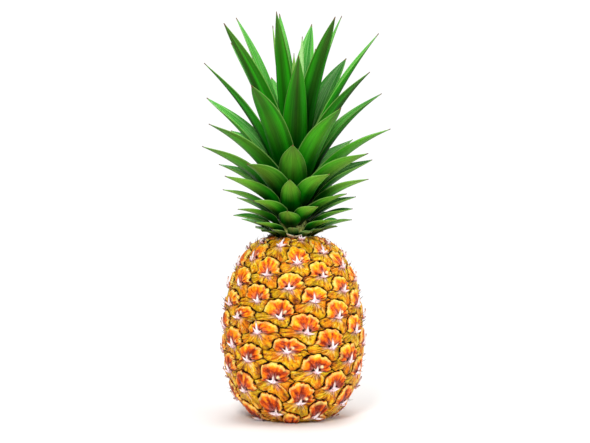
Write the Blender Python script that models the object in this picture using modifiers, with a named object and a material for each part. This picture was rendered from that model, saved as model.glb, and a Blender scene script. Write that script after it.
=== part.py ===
"""A whole pineapple with its crown, standing on its flat base.

+Z is up and the origin is the middle of the base. The fruit's front is its -Y side.
The fruit is one solid: a turned barrel with the low domes of its fruitlets, which sit on one
rising spiral. The crown is a tapering stem with leaves on a second spiral, each leaf a curved
blade that wraps the stem at its foot. Every leaf is its own solid.
"""

import math

import bmesh
import bpy

MM = 0.001
GAP = 0.3 * MM  # air left between two pieces that touch in the real fruit

# Fruit: the side draws in from the belly by one rule, upwards and downwards
BELLY_RADIUS = 61.2 * MM
BELLY_HEIGHT = 68 * MM
LOWER_REACH = 71 * MM  # below the belly, cut off by the flat base at z = 0
UPPER_REACH = 91.5 * MM  # above the belly, to the closed top
SIDE_FALL = 2.1  # how late the side starts to draw in from the belly
SIDE_ROUNDING = 3.1  # how full the shoulders are
SIDE_RINGS = 32
SIDE_STEPS = 66
FINE_POINTS = 4000  # that the side is measured along, to space its rings evenly

# Fruitlets: the low domes that the fruit is fused from
FRUITLET_AREA = 638e-6  # square metres of skin for one, half way up
FRUITLET_SHRINK = 0.56  # share of that lost from the bottom to the top
FRUITLET_TURN = math.radians(-137.64)  # from one fruitlet to the next one up
FIRST_FRUITLET = math.radians(80.5)  # from the front, towards +X
FIRST_FRUITLET_PLACE = 0.8  # fruitlets' worth of skin below the first one's centre
FRUITLET_RADIUS = 0.60  # of the square root of its area
FRUITLET_DOME = 2.0 * MM
GROOVE_DEPTH = 1.1 * MM
GROOVE_FADE = 8 * MM  # height above the flat base over which the grooves reach full depth
CROWN_MARGIN = 3 * MM  # of plain skin around the crown's seat
SKIN_TOLERANCE = 0.05 * MM  # how near the side's rule a vertex of the side lies

# Cut stalk, set in the middle of the base
STALK_RADIUS = 11 * MM
STALK_DEPTH = 6 * MM
STALK_CHAMFER = 1 * MM
STALK_STEPS = 32

# Crown: a tapering stem in a shallow seat on the fruit, and the rolled heart on top of it
STEM_FOOT_RADIUS = 17 * MM
STEM_WAIST_RADIUS = 12.5 * MM
STEM_WAIST_HEIGHT = 10 * MM
STEM_TOP_RADIUS = 3.4 * MM
STEM_HEIGHT = 50 * MM
SEAT_DEPTH = 1.6 * MM
STEM_STEPS = 24
HEART_RADIUS = 2.9 * MM
HEART_HEIGHT = 92 * MM
HEART_RINGS = 9
HEART_STEPS = 14

LEAF_COUNT = 56
LEAF_TURN = math.radians(-138.2)  # a little under 5/13 of a turn, so every 13th leaf stands in line
FIRST_LEAF = math.radians(239)  # from the front, towards +X
FIRST_LEAF_HEIGHT = 3 * MM  # above the crown's foot
LAST_LEAF_HEIGHT = 45.5 * MM
LEAF_THICKNESS = 1.4 * MM
TIP_SHARE = 0.4  # of that thickness, at a leaf's tip
TIP_WIDTH = 0.9 * MM
CHANNEL_RADIUS = 15 * MM  # of the gutter that a blade's cross-section makes
WIDEST = 0.3  # share of a leaf's length, from its foot, where it is widest
TAPER_POWER = 3.2
LEAF_COLUMNS = 4
LEAF_FEWEST_ROWS = 6
LEAF_ROW_PITCH = 50 * MM  # of length for each further row
MOST_WRAP_LEAN = 1.2  # radians: the lean past which a blade's gutter no longer opens

# Leaves grow longer up the crown, and the few at its top a little shorter again
LOWEST_LEAF_LENGTH = 38 * MM
LONGEST_LEAF_LENGTH = 160 * MM
HIGHEST_LEAF_LENGTH = 150 * MM
LONGEST_LEAF_PLACE = 0.9  # share of the way from the lowest leaf to the highest
LENGTH_RISE = 1.9  # how late on that way they grow long

# From the lowest leaf (0) to the highest (1): width, foot width, and the lean from upright at
# the foot and at the tip
LEAF_FORMS = (
    (0.00, 15 * MM, 9.0 * MM, math.radians(60), math.radians(88)),
    (0.29, 19 * MM, 8.0 * MM, math.radians(49), math.radians(80)),
    (0.53, 26 * MM, 7.5 * MM, math.radians(37), math.radians(74)),
    (0.65, 27 * MM, 7.0 * MM, math.radians(29), math.radians(68)),
    (0.76, 26 * MM, 6.0 * MM, math.radians(17), math.radians(53)),
    (0.90, 23 * MM, 4.4 * MM, math.radians(11), math.radians(38)),
    (1.00, 17 * MM, 3.2 * MM, math.radians(5), math.radians(11)),
)

# The leaves of the front column are shorter and stand straighter, by their number in the spiral:
# length, then as above
FRONT_LEAVES = {
    7: (33 * MM, 19 * MM, 8.5 * MM, math.radians(49), math.radians(68)),
    20: (54 * MM, 19 * MM, 8.0 * MM, math.radians(40), math.radians(60)),
    33: (76 * MM, 27 * MM, 7.2 * MM, math.radians(31), math.radians(58)),
    46: (134 * MM, 25 * MM, 5.0 * MM, math.radians(13), math.radians(44)),
}

SKIN = ("fruit_skin", (0.80, 0.36, 0.04), 0.45)
STALK = ("cut_stalk", (0.42, 0.30, 0.14), 0.80)
STEM = ("crown_stem", (0.45, 0.50, 0.25), 0.60)
LEAF = ("leaf", (0.07, 0.26, 0.03), 0.40)
HEART = ("heart_leaf", (0.20, 0.45, 0.08), 0.45)


def material(form):
    name, colour, roughness = form
    made = bpy.data.materials.get(name)
    if made is None:
        made = bpy.data.materials.new(name)
        made.use_nodes = True
        shader = made.node_tree.nodes["Principled BSDF"]
        shader.inputs["Base Color"].default_value = (*colour, 1)
        shader.inputs["Roughness"].default_value = roughness
        shader.inputs["Metallic"].default_value = 0
    return made


def add(name, mesh, form, collection, parent):
    piece = bpy.data.objects.new(name, mesh)
    piece.data.materials.clear()
    piece.data.materials.append(material(form))
    piece.parent = parent
    collection.objects.link(piece)
    return piece


def turned(name, profile, steps, form, collection, parent):
    """A profile of (radius, height) points, top to bottom, turned about Z by a Screw."""
    bm = bmesh.new()
    points = [bm.verts.new((radius, 0, height)) for radius, height in profile]
    for upper, lower in zip(points, points[1:]):
        bm.edges.new((upper, lower))
    mesh = bpy.data.meshes.new(name)
    bm.to_mesh(mesh)
    bm.free()
    piece = add(name, mesh, form, collection, parent)
    screw = piece.modifiers.new("Screw", "SCREW")
    screw.steps = screw.render_steps = steps
    screw.use_merge_vertices = True
    screw.merge_threshold = 0.01 * MM
    return piece


def side_radius(height):
    """The fruit's radius at a height, on the smooth barrel under the domes."""
    reach = LOWER_REACH if height < BELLY_HEIGHT else UPPER_REACH
    share = abs(height - BELLY_HEIGHT) / reach
    return BELLY_RADIUS * max(0.0, 1 - share**SIDE_FALL) ** (1 / SIDE_ROUNDING)


def side_profile(points, inner_radius):
    """(radius, height) points, evenly spaced down the side, from inner_radius at the top to the base."""
    fine = []
    for i in range(FINE_POINTS + 1):
        turn = math.pi * i / FINE_POINTS
        height = BELLY_HEIGHT + UPPER_REACH * math.cos(turn)
        radius = side_radius(height) if height > 0 else None
        if radius is not None and (height < BELLY_HEIGHT or radius >= inner_radius):
            fine.append((radius, height))
    fine.append((side_radius(0), 0.0))
    along = [0.0]
    for a, b in zip(fine, fine[1:]):
        along.append(along[-1] + math.dist(a, b))
    spaced, k = [], 0
    for i in range(points):
        goal = along[-1] * i / (points - 1)
        while k < len(along) - 2 and along[k + 1] < goal:
            k += 1
        share = (goal - along[k]) / (along[k + 1] - along[k])
        spaced.append(tuple(a + (b - a) * share for a, b in zip(fine[k], fine[k + 1])))
    return spaced


def fruitlets():
    """(centre, radius) of each fruitlet, from the base up. Each takes its own area of skin."""
    strips = list(reversed(side_profile(FINE_POINTS, STEM_FOOT_RADIUS + GAP)))
    whole = sum(math.dist(a, b) for a, b in zip(strips, strips[1:]))
    found, gone, filled = [], 0.0, 0.0
    for a, b in zip(strips, strips[1:]):
        run = math.dist(a, b)
        area = FRUITLET_AREA * (1 + FRUITLET_SHRINK * (0.5 - gone / whole))
        filled += math.pi * (a[0] + b[0]) * run / area
        gone += run
        if filled >= len(found) + FIRST_FRUITLET_PLACE:
            turn = FIRST_FRUITLET + FRUITLET_TURN * len(found)
            centre = (b[0] * math.sin(turn), -b[0] * math.cos(turn), b[1])
            found.append((centre, FRUITLET_RADIUS * math.sqrt(area)))
    return found


def raise_fruitlets(mesh):
    """Moves the side's vertices out into domes, with grooves between them. The flat ends stay."""
    eyes = fruitlets()
    for vertex in mesh.vertices:
        place = tuple(vertex.co)
        radius = math.hypot(place[0], place[1])
        on_side = abs(radius - side_radius(place[2])) < SKIN_TOLERANCE and place[2] > GAP
        if not on_side or radius < STEM_FOOT_RADIUS + CROWN_MARGIN:
            continue
        share = min(math.dist(place, centre) / reach for centre, reach in eyes)
        lift = FRUITLET_DOME * max(0.0, 1 - share**2) - GROOVE_DEPTH
        fade = min(1.0, place[2] / GROOVE_FADE)
        slope = (side_radius(place[2] - 0.5 * MM) - side_radius(place[2] + 0.5 * MM)) / MM
        length = math.hypot(1, slope)
        vertex.co.x += place[0] / radius * lift * fade / length
        vertex.co.y += place[1] / radius * lift * fade / length
        vertex.co.z += slope * lift * fade / length


def make_fruit(collection, parent):
    """The barrel, with a hole for the stalk in its base and a seat for the crown in its top."""
    seat_radius = STEM_FOOT_RADIUS + GAP
    side = side_profile(SIDE_RINGS, seat_radius)
    hole = STALK_RADIUS + GAP
    profile = [(0, side[0][1] - SEAT_DEPTH), (seat_radius, side[0][1] - SEAT_DEPTH)]
    profile += side
    profile += [((side[-1][0] + hole) / 2, 0), (hole, 0)]
    profile += [(hole, STALK_DEPTH + GAP), (0, STALK_DEPTH + GAP)]
    fruit = turned("fruit", profile, SIDE_STEPS, SKIN, collection, parent)
    bpy.context.view_layer.update()
    graph = bpy.context.evaluated_depsgraph_get()
    mesh = bpy.data.meshes.new_from_object(fruit.evaluated_get(graph))
    raise_fruitlets(mesh)
    mesh.shade_smooth()
    fruit.modifiers.clear()
    fruit.data = mesh
    return side[0][1] - SEAT_DEPTH + GAP  # the height that the crown's foot stands at


def leaf_length(share):
    if share < LONGEST_LEAF_PLACE:
        rise = (share / LONGEST_LEAF_PLACE) ** LENGTH_RISE
        return LOWEST_LEAF_LENGTH + (LONGEST_LEAF_LENGTH - LOWEST_LEAF_LENGTH) * rise
    fall = (share - LONGEST_LEAF_PLACE) / (1 - LONGEST_LEAF_PLACE)
    return LONGEST_LEAF_LENGTH + (HIGHEST_LEAF_LENGTH - LONGEST_LEAF_LENGTH) * fall


def leaf_form(share):
    """Length, width, foot width and the two leans of a leaf this far up the crown."""
    for lower, upper in zip(LEAF_FORMS, LEAF_FORMS[1:]):
        if share <= upper[0]:
            part = (share - lower[0]) / (upper[0] - lower[0])
            return [leaf_length(share)] + [a + (b - a) * part for a, b in zip(lower[1:], upper[1:])]


def stem_radius(height):
    if height < STEM_WAIST_HEIGHT:
        share = height / STEM_WAIST_HEIGHT
        return STEM_FOOT_RADIUS + (STEM_WAIST_RADIUS - STEM_FOOT_RADIUS) * share
    share = (height - STEM_WAIST_HEIGHT) / (STEM_HEIGHT - STEM_WAIST_HEIGHT)
    return STEM_WAIST_RADIUS + (STEM_TOP_RADIUS - STEM_WAIST_RADIUS) * share


def blade_width(along, width, foot_width):
    """A leaf's width at a share of its length: narrow where it leaves the stem, then a long taper."""
    if along < WIDEST:
        share = along / WIDEST
        return foot_width + (width - foot_width) * share * share * (3 - 2 * share)
    return max(TIP_WIDTH, width * (1 - ((along - WIDEST) / (1 - WIDEST)) ** TAPER_POWER))


def make_leaf(index, collection, crown):
    """One blade: a grid bent along an arc that leans further out towards the tip, and curved
    across like a gutter, then given its thickness by Solidify."""
    share = index / (LEAF_COUNT - 1)
    form = FRONT_LEAVES.get(index) or leaf_form(share)
    length, width, foot_width, foot_lean, tip_lean = form
    height = FIRST_LEAF_HEIGHT + (LAST_LEAF_HEIGHT - FIRST_LEAF_HEIGHT) * share
    foot = stem_radius(height) + GAP + LEAF_THICKNESS / 2
    bend = (tip_lean - foot_lean) / length
    rows = LEAF_FEWEST_ROWS + round(length / LEAF_ROW_PITCH)
    bm = bmesh.new()
    bmesh.ops.create_grid(bm, x_segments=LEAF_COLUMNS, y_segments=rows, size=1)
    shares = []
    for vertex in bm.verts:
        along = (vertex.co.y + 1) / 2
        lean = foot_lean + bend * length * along
        out = (math.cos(foot_lean) - math.cos(lean)) / bend
        up = (math.sin(lean) - math.sin(foot_lean)) / bend
        wrap = min((foot + out) / math.cos(min(lean, MOST_WRAP_LEAN)), CHANNEL_RADIUS)
        turn = vertex.co.x * blade_width(along, width, foot_width) / 2 / wrap
        inward = wrap * (1 - math.cos(turn))
        vertex.co = (
            out - inward * math.cos(lean),
            wrap * math.sin(turn),
            up + inward * math.sin(lean),
        )
        shares.append(1 - along)
    bmesh.ops.recalc_face_normals(bm, faces=bm.faces)
    mesh = bpy.data.meshes.new(f"leaf_{index + 1:02d}")
    bm.to_mesh(mesh)
    bm.free()
    mesh.shade_smooth()
    leaf = add(mesh.name, mesh, LEAF, collection, crown)
    around = FIRST_LEAF + LEAF_TURN * index - math.pi / 2  # from +X, where the mesh points
    leaf.location = (foot * math.cos(around), foot * math.sin(around), height)
    leaf.rotation_euler = (0, 0, around)
    group = leaf.vertex_groups.new(name="thickness")
    for vertex, weight in zip(mesh.vertices, shares):
        group.add([vertex.index], weight, "REPLACE")
    solid = leaf.modifiers.new("Solidify", "SOLIDIFY")
    solid.thickness = LEAF_THICKNESS
    solid.offset = 0
    solid.vertex_group = group.name
    solid.thickness_vertex_group = TIP_SHARE


def make_crown(foot_height, collection, parent):
    crown = bpy.data.objects.new("crown", None)
    crown.location = (0, 0, foot_height)
    crown.parent = parent
    collection.objects.link(crown)
    stem = [(0, STEM_HEIGHT)]
    stem += [(stem_radius(height), height) for height in (STEM_HEIGHT, STEM_WAIST_HEIGHT, 0)]
    stem += [(0, 0)]
    turned("crown_stem", stem, STEM_STEPS, STEM, collection, crown)
    rolled = [(0, 0)]
    for i in range(1, HEART_RINGS):
        share = i / HEART_RINGS
        swell = math.sin(math.pi * share**0.7) ** 0.6  # fullest a third of the way down
        rolled.append((HEART_RADIUS * swell, -HEART_HEIGHT * share))
    rolled += [(HEART_RADIUS * 0.6, -HEART_HEIGHT), (0, -HEART_HEIGHT)]
    heart = turned("crown_heart", rolled, HEART_STEPS, HEART, collection, crown)
    heart.location = (0, 0, STEM_HEIGHT + GAP + HEART_HEIGHT)
    for index in range(LEAF_COUNT):
        make_leaf(index, collection, crown)


def make_stalk(collection, parent):
    """The end of the stalk that the fruit grew on, cut level with the base."""
    profile = [
        (0, STALK_DEPTH),
        (STALK_RADIUS - STALK_CHAMFER, STALK_DEPTH),
        (STALK_RADIUS, STALK_DEPTH - STALK_CHAMFER),
        (STALK_RADIUS, 0),
        (0, 0),
    ]
    turned("cut_stalk", profile, STALK_STEPS, STALK, collection, parent)


def main():
    for old in list(bpy.data.objects):
        bpy.data.objects.remove(old)
    collection = bpy.data.collections.new("pineapple")
    bpy.context.scene.collection.children.link(collection)
    pineapple = bpy.data.objects.new("pineapple", None)
    collection.objects.link(pineapple)
    crown_foot = make_fruit(collection, pineapple)
    make_stalk(collection, pineapple)
    make_crown(crown_foot, collection, pineapple)


main()
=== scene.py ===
import math
import random

import bmesh
import bpy
import numpy as np
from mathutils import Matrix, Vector, noise


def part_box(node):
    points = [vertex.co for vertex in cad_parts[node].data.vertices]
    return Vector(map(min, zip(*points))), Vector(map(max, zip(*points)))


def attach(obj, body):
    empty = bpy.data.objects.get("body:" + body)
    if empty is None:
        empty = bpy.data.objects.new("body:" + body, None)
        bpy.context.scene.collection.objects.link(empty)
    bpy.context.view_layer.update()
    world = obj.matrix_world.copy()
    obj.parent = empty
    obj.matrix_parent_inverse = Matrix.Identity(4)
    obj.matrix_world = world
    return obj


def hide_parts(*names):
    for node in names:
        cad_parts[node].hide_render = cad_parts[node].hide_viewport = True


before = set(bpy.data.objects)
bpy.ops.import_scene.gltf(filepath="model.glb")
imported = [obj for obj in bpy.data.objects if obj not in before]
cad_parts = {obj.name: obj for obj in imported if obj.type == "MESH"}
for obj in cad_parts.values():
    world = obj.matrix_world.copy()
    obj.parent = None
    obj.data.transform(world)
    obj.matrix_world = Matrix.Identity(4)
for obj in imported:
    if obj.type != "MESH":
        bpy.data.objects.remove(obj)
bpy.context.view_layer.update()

MM = 0.001


# The fruit's skin. Some ninety fruitlets grow round the core in one rising spiral and fuse, each
# a six-sided cell: an arched dome above, the flesh of its bract fanned out below, and a dark
# crevice all round. One welded sheet over the barrel, raised cell by cell.
BELLY_RADIUS = 61.2 * MM
BELLY_HEIGHT = 68 * MM
LOWER_REACH = 71 * MM
UPPER_REACH = 91.5 * MM
SIDE_FALL = 2.1
SIDE_ROUNDING = 3.1
STALK_HOLE = 11.3 * MM
CROWN_SEAT = 17.3 * MM
SEAT_DEPTH = 1.6 * MM
POCKET_DEPTH = 6.3 * MM

CELL_AREA = 638e-6  # square metres, half way up
CELL_SHRINK = 0.56  # share of that lost from the bottom to the top
CELL_TURN = -137.64  # degrees from one fruitlet to the next one up
FIRST_TURN = 80.5  # degrees from the front, towards +X
FIRST_PLACE = 0.8  # cells' worth of skin from the base's edge to the first one's middle
# Growth is never even: these fruitlets sit off the spiral, by (across, up) millimetres
UNEVEN = {
    6: (5, -2), 11: (0, -1.5), 14: (-2, 1), 16: (-1, -1), 19: (-2, 2), 24: (2, 1), 27: (-4, 4),
    29: (4, -2), 32: (-0.5, 4), 37: (5.5, -2.5), 40: (-5, 5.5), 42: (2, 0), 45: (4.5, -2),
    48: (-6, 3.5), 50: (1.5, 1), 53: (4, -2.5), 58: (1, 3), 61: (4, -2.5), 63: (0.5, 1.5),
    66: (0, 1), 69: (-0.5, -3), 71: (1.5, 2.5), 74: (-1, -1), 79: (-1.5, 1), 82: (-4, -2.5),
    84: (1.5, 1.5), 87: (-3.5, 4), 92: (0, 3),
}
LOWEST_CELL = -18
HIGHEST_CELL = 112
NEIGHBOUR_REACH = 26  # how many cells further the ones that shape a cell's edge lie
NARROWEST_RING = 31 * MM  # the spiral keeps this ring's pitch where the ends are narrower
EDGE_POINTS = 12  # along each of a cell's six edges
CELL_RINGS = (0, 0.13, 0.26, 0.39, 0.51, 0.62, 0.72, 0.81, 0.885, 0.94, 0.975, 1)
# A cell's right and left shoulder: steps to the two cells above it there, and their pull
CORNERS = (((5, 13), (0.344, 0.22)), ((8, 13), (0.39, 0.372)))
TOP_BULGE = 2.8 * MM  # how far a dome's edge bows out of the straight line between two corners
SHOULDER_BULGE = 2.2 * MM
FOOT_TUCK = 3.0 * MM
SIDE_TUCK = 2.2 * MM
EDGE_WAVER = 0.42 * MM
CORNER_JITTER = 0.8 * MM

DOME_RISE = 3.6 * MM
FAN_RISE = 2.5 * MM
CREVICE_LEVEL = -2.7 * MM  # of the crevices' floors, from the barrel
DOME_ROUNDING = 3.4 * MM  # width of a dome's rounded edge
FAN_ROUNDING = 2.2 * MM
JUNCTION_DEPTH = 1.3 * MM  # of the slit between dome and bract
JUNCTION_WIDTH = 0.75 * MM
DOME_CREASES = 6  # from the eye to the dome's edge, which they notch
CREASE_WIDTH = 0.016  # of a turn round the eye
CREASE_DEPTH = 1.2 * MM
NOTCH_REACH = 1.5 * MM
RIDGE_HEIGHT = 0.34 * MM
PIT_RADIUS = 1.2 * MM  # of the holes on both sides of the bract's tip
PIT_DEPTH = 1.6 * MM
PEARL_RADIUS = 1.7 * MM  # of the swelling beside one of them
PEARL_RISE = 0.8 * MM
DOME_FOOT = 3.0 * MM  # how far the dome's two lower corners round up, above the bract's wings
END_FADE = 4 * MM  # from each end of the skin over which its relief reaches full height
PROFILE_POINTS = 6000
BASE_POINTS = 200
SOFT_POINTS = 80  # on each side, that the profile's normals are averaged over
SMALL_HOLE = 8  # sides of the largest gap that is filled after the cells are welded

turns = np.linspace(0, math.pi, PROFILE_POINTS + 1)
heights = BELLY_HEIGHT + UPPER_REACH * np.cos(turns)
reach = np.where(heights < BELLY_HEIGHT, LOWER_REACH, UPPER_REACH)
share = np.minimum(1, np.abs(heights - BELLY_HEIGHT) / reach)
radii = BELLY_RADIUS * (1 - share**SIDE_FALL) ** (1 / SIDE_ROUNDING)
on_side = (heights > 0) & ((heights < BELLY_HEIGHT) | (radii > CROWN_SEAT))
base_r = np.linspace(STALK_HOLE, radii[on_side][-1], BASE_POINTS, endpoint=False)
path_r = np.concatenate([base_r, radii[on_side][::-1]])
path_z = np.concatenate([np.zeros(BASE_POINTS), heights[on_side][::-1]])
path_s = np.concatenate([[0], np.cumsum(np.hypot(np.diff(path_r), np.diff(path_z)))])
rim_s = path_s[BASE_POINTS]
path_nr = np.gradient(path_z, path_s)
path_nz = -np.gradient(path_r, path_s)
soft = np.ones(2 * SOFT_POINTS + 1) / (2 * SOFT_POINTS + 1)
path_nr, path_nz = (
    np.convolve(np.pad(n, SOFT_POINTS, "edge"), soft, "valid") for n in (path_nr, path_nz)
)

side_share = np.clip((path_s - rim_s) / (path_s[-1] - rim_s), 0, 1)
cell_areas = CELL_AREA * (1 + CELL_SHRINK * (0.5 - side_share))
per_metre = 2 * math.pi * np.maximum(path_r, NARROWEST_RING) / cell_areas
count = np.concatenate([[0], np.cumsum((per_metre[1:] + per_metre[:-1]) / 2 * np.diff(path_s))])
count -= np.interp(rim_s, path_s, count)


def cell_height(index):
    """Distance along the skin's profile, from the stalk's hole, to a fruitlet's middle."""
    place = FIRST_PLACE + index
    if place < count[0]:
        return (place - count[0]) / per_metre[0]
    if place > count[-1]:
        return path_s[-1] + (place - count[-1]) / per_metre[-1]
    return float(np.interp(place, count, path_s))


cell_s, cell_turn = {}, {}
for i in range(LOWEST_CELL - NEIGHBOUR_REACH, HIGHEST_CELL + NEIGHBOUR_REACH + 1):
    across, up = UNEVEN.get(i, (0, 0))
    cell_s[i] = cell_height(i) + up * MM
    cell_turn[i] = FIRST_TURN + CELL_TURN * i
    cell_turn[i] += math.degrees(across * MM / max(np.interp(cell_s[i], path_s, path_r), CROWN_SEAT))


def between(start, end):
    """Degrees round the fruit from one fruitlet to another, the short way."""
    return (cell_turn[end] - cell_turn[start] + 180) % 360 - 180


def corner(index, kind):
    """Where three cells meet, on cell index's dome at its right shoulder (kind 0) or its left
    one (kind 1): (degrees from the cell's middle, profile distance)."""
    steps, weights = CORNERS[kind]
    dice = random.Random(1000 + index * 2 + kind)
    across = sum(w * between(index, index + step) for step, w in zip(steps, weights))
    along = cell_s[index] + sum(w * (cell_s[index + step] - cell_s[index]) for step, w in zip(steps, weights))
    radius = np.interp(along, path_s, path_r)
    across += math.degrees(dice.uniform(-1, 1) * CORNER_JITTER / radius)
    return across, along + dice.uniform(-1, 1) * CORNER_JITTER


def shared_edge(index, step):
    """The edge between cell index and the one step above it, as arrays of degrees and distance.
    It follows the lower cell's dome, and swings in round the dome's foot where the wings meet."""
    ends = {
        13: ((index, 0), (index, 1)),
        8: ((index, 1), (index - 5, 0)),
        5: ((index - 8, 1), (index, 0)),
    }[step]
    points = []
    for owner, kind in ends:
        across, along = corner(owner, kind)
        points.append((across + between(index, owner), along))
    t = np.arange(EDGE_POINTS + 1) / EDGE_POINTS
    across = points[0][0] + (points[1][0] - points[0][0]) * t
    along = points[0][1] + (points[1][1] - points[0][1]) * t
    radius = max(np.interp(along.mean(), path_s, path_r), CROWN_SEAT)
    outward = np.array([along[-1] - along[0], -math.radians(across[-1] - across[0]) * radius])
    outward /= np.hypot(*outward)
    dice = random.Random(5000 + index * 20 + step)
    if step == 13:
        bow = TOP_BULGE * 4 * t * (1 - t)
    elif step == 8:
        bow = np.sin(2 * math.pi * t) * np.where(t < 0.5, SHOULDER_BULGE, FOOT_TUCK)
    else:
        bow = -SIDE_TUCK * np.sin(math.pi * t)
    bow = bow * math.sqrt(float(np.interp(cell_s[index], path_s, cell_areas)) / CELL_AREA)
    waver = sum(np.sin(2 * math.pi * (k * t + dice.random())) for k in (2, 3, 5)) / 2
    push = bow + EDGE_WAVER * waver * np.minimum(1, 6 * t * (1 - t))
    return across + np.degrees(push * outward[0] / radius), along + push * outward[1]


def cell_outline(index):
    """A cell's edge points in turn, from its right corner over the top: degrees and distance."""
    route = [(index, step, 1) for step in (5, 13, 8)]
    route += [(index - step, step, -1) for step in (5, 13, 8)]
    across, along = [], []
    for owner, step, order in route:
        a, s = shared_edge(owner, step)
        across.append((a + between(index, owner))[::order][:-1])
        along.append(s[::order][:-1])
    return np.concatenate(across), np.concatenate(along)


def disc_template():
    """A flat disc of rings and spokes, with its spoke number and ring share for each corner."""
    bm = bmesh.new()
    spoke = [bm.verts.new((ring, 0, 0)) for ring in CELL_RINGS]
    for a, b in zip(spoke, spoke[1:]):
        bm.edges.new((a, b))
    bmesh.ops.spin(
        bm, geom=bm.verts[:] + bm.edges[:], cent=(0, 0, 0), axis=(0, 0, 1),
        angle=2 * math.pi, steps=6 * EDGE_POINTS, use_merge=True,
    )
    bmesh.ops.remove_doubles(bm, verts=bm.verts, dist=1e-4)
    bmesh.ops.recalc_face_normals(bm, faces=bm.faces)
    if sum(face.normal.z for face in bm.faces) < 0:
        bmesh.ops.reverse_faces(bm, faces=bm.faces)
    for name in ("polar", "eye", "lot", "fold"):
        bm.loops.layers.uv.new(name)
    mesh = bpy.data.meshes.new("cell")
    bm.to_mesh(mesh)
    bm.free()
    return mesh


disc = disc_template()
spots = np.array([v.co[:2] for v in disc.vertices])
ring = np.hypot(*spots.T)
spoke = np.round(np.degrees(np.arctan2(spots[:, 1], spots[:, 0])) % 360 / 360 * 6 * EDGE_POINTS).astype(int)
spoke %= 6 * EDGE_POINTS
loop_vertex = np.array([loop.vertex_index for loop in disc.loops])
loop_turn = np.zeros(len(loop_vertex))
for face in disc.polygons:
    middle = math.atan2(face.center.y, face.center.x) / (2 * math.pi) % 1
    for loop in face.loop_indices:
        turn = spoke[loop_vertex[loop]] / (6 * EDGE_POINTS)
        if ring[loop_vertex[loop]] == 0:
            turn = middle
        loop_turn[loop] = turn + round(middle - turn)


def smooth(low, high, value):
    share = np.clip((value - low) / (high - low), 0, 1)
    return share * share * (3 - 2 * share)


def cell_relief(index, across, up, edge, ring, turn, scale):
    """A cell's skin: its height over the barrel, the distance to its notched edge, and how far
    into a crease it lies. across and up are from its eye, edge is the distance to the next cell,
    ring the share of the way there, and turn the share of the way round the eye."""
    dice = random.Random(9000 + index)
    angle = 2 * math.pi * turn
    upper = smooth(-0.6 * MM, 0.6 * MM, up)
    crease = np.zeros(len(ring))
    for number in range(DOME_CREASES):
        at = round(3.5 + 5.6 * number + dice.uniform(-1.5, 1.5)) / (6 * EDGE_POINTS)
        fold = dice.uniform(0.3, 1) * np.exp(-(((turn - at) / CREASE_WIDTH) ** 2))
        crease = np.maximum(crease, fold * smooth(0.1, 0.4, ring) * upper)
    scallop = 0.35 * MM * np.sin(9 * angle + dice.uniform(0, 6))
    scallop += 0.25 * MM * np.sin(14 * angle + dice.uniform(0, 6))
    inside = edge + scallop * smooth(0, 0.6 * MM, edge) - NOTCH_REACH * crease * smooth(0.5, 0.8, ring)
    inside = np.maximum(0, inside)
    dome = np.sqrt(1 - (1 - np.minimum(1, inside / (DOME_ROUNDING * scale))) ** 2)
    dome *= 1 - 0.42 * (1 - np.minimum(1, ring / 0.6)) ** 2
    dome = DOME_RISE * scale * dome - CREASE_DEPTH * crease * smooth(0, 1.2 * MM, edge)
    fan = np.sqrt(1 - (1 - np.minimum(1, inside / (FAN_ROUNDING * scale))) ** 2)
    fan = FAN_RISE * scale * fan * (1 - 0.3 * ring)
    ridges = sum(np.sin(k * angle + dice.uniform(0, 6)) for k in (11, 17, 26)) / 1.6
    fan += RIDGE_HEIGHT * ridges * smooth(0.15, 0.5, ring) * smooth(0, 1 * MM, edge)
    slit = np.exp(-((up / JUNCTION_WIDTH) ** 2)) * smooth(0.1, 0.3, ring) * smooth(0, 1.5 * MM, edge)
    pits = np.exp(-((np.hypot(np.abs(across) - 2.7 * MM, up - 1 * MM) / PIT_RADIUS) ** 2))
    pearl = np.exp(-((np.hypot(across - 4.2 * MM, up - 4 * MM) / PEARL_RADIUS) ** 2))
    beads = (PEARL_RISE * pearl - PIT_DEPTH * pits) * smooth(0, 1 * MM, edge)
    height = CREVICE_LEVEL + dome * upper + fan * (1 - upper) - JUNCTION_DEPTH * slit + beads
    return height, inside, crease


def on_skin(degrees, along, lift):
    """Points lifted off the barrel, at azimuths from the front and distances up the profile."""
    along = np.clip(along, 0, path_s[-1])
    radius = np.interp(along, path_s, path_r) + lift * np.interp(along, path_s, path_nr)
    height = np.interp(along, path_s, path_z) + lift * np.interp(along, path_s, path_nz)
    turn = np.radians(degrees)
    return np.stack([radius * np.sin(turn), -radius * np.cos(turn), np.maximum(0, height)], axis=-1)


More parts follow.
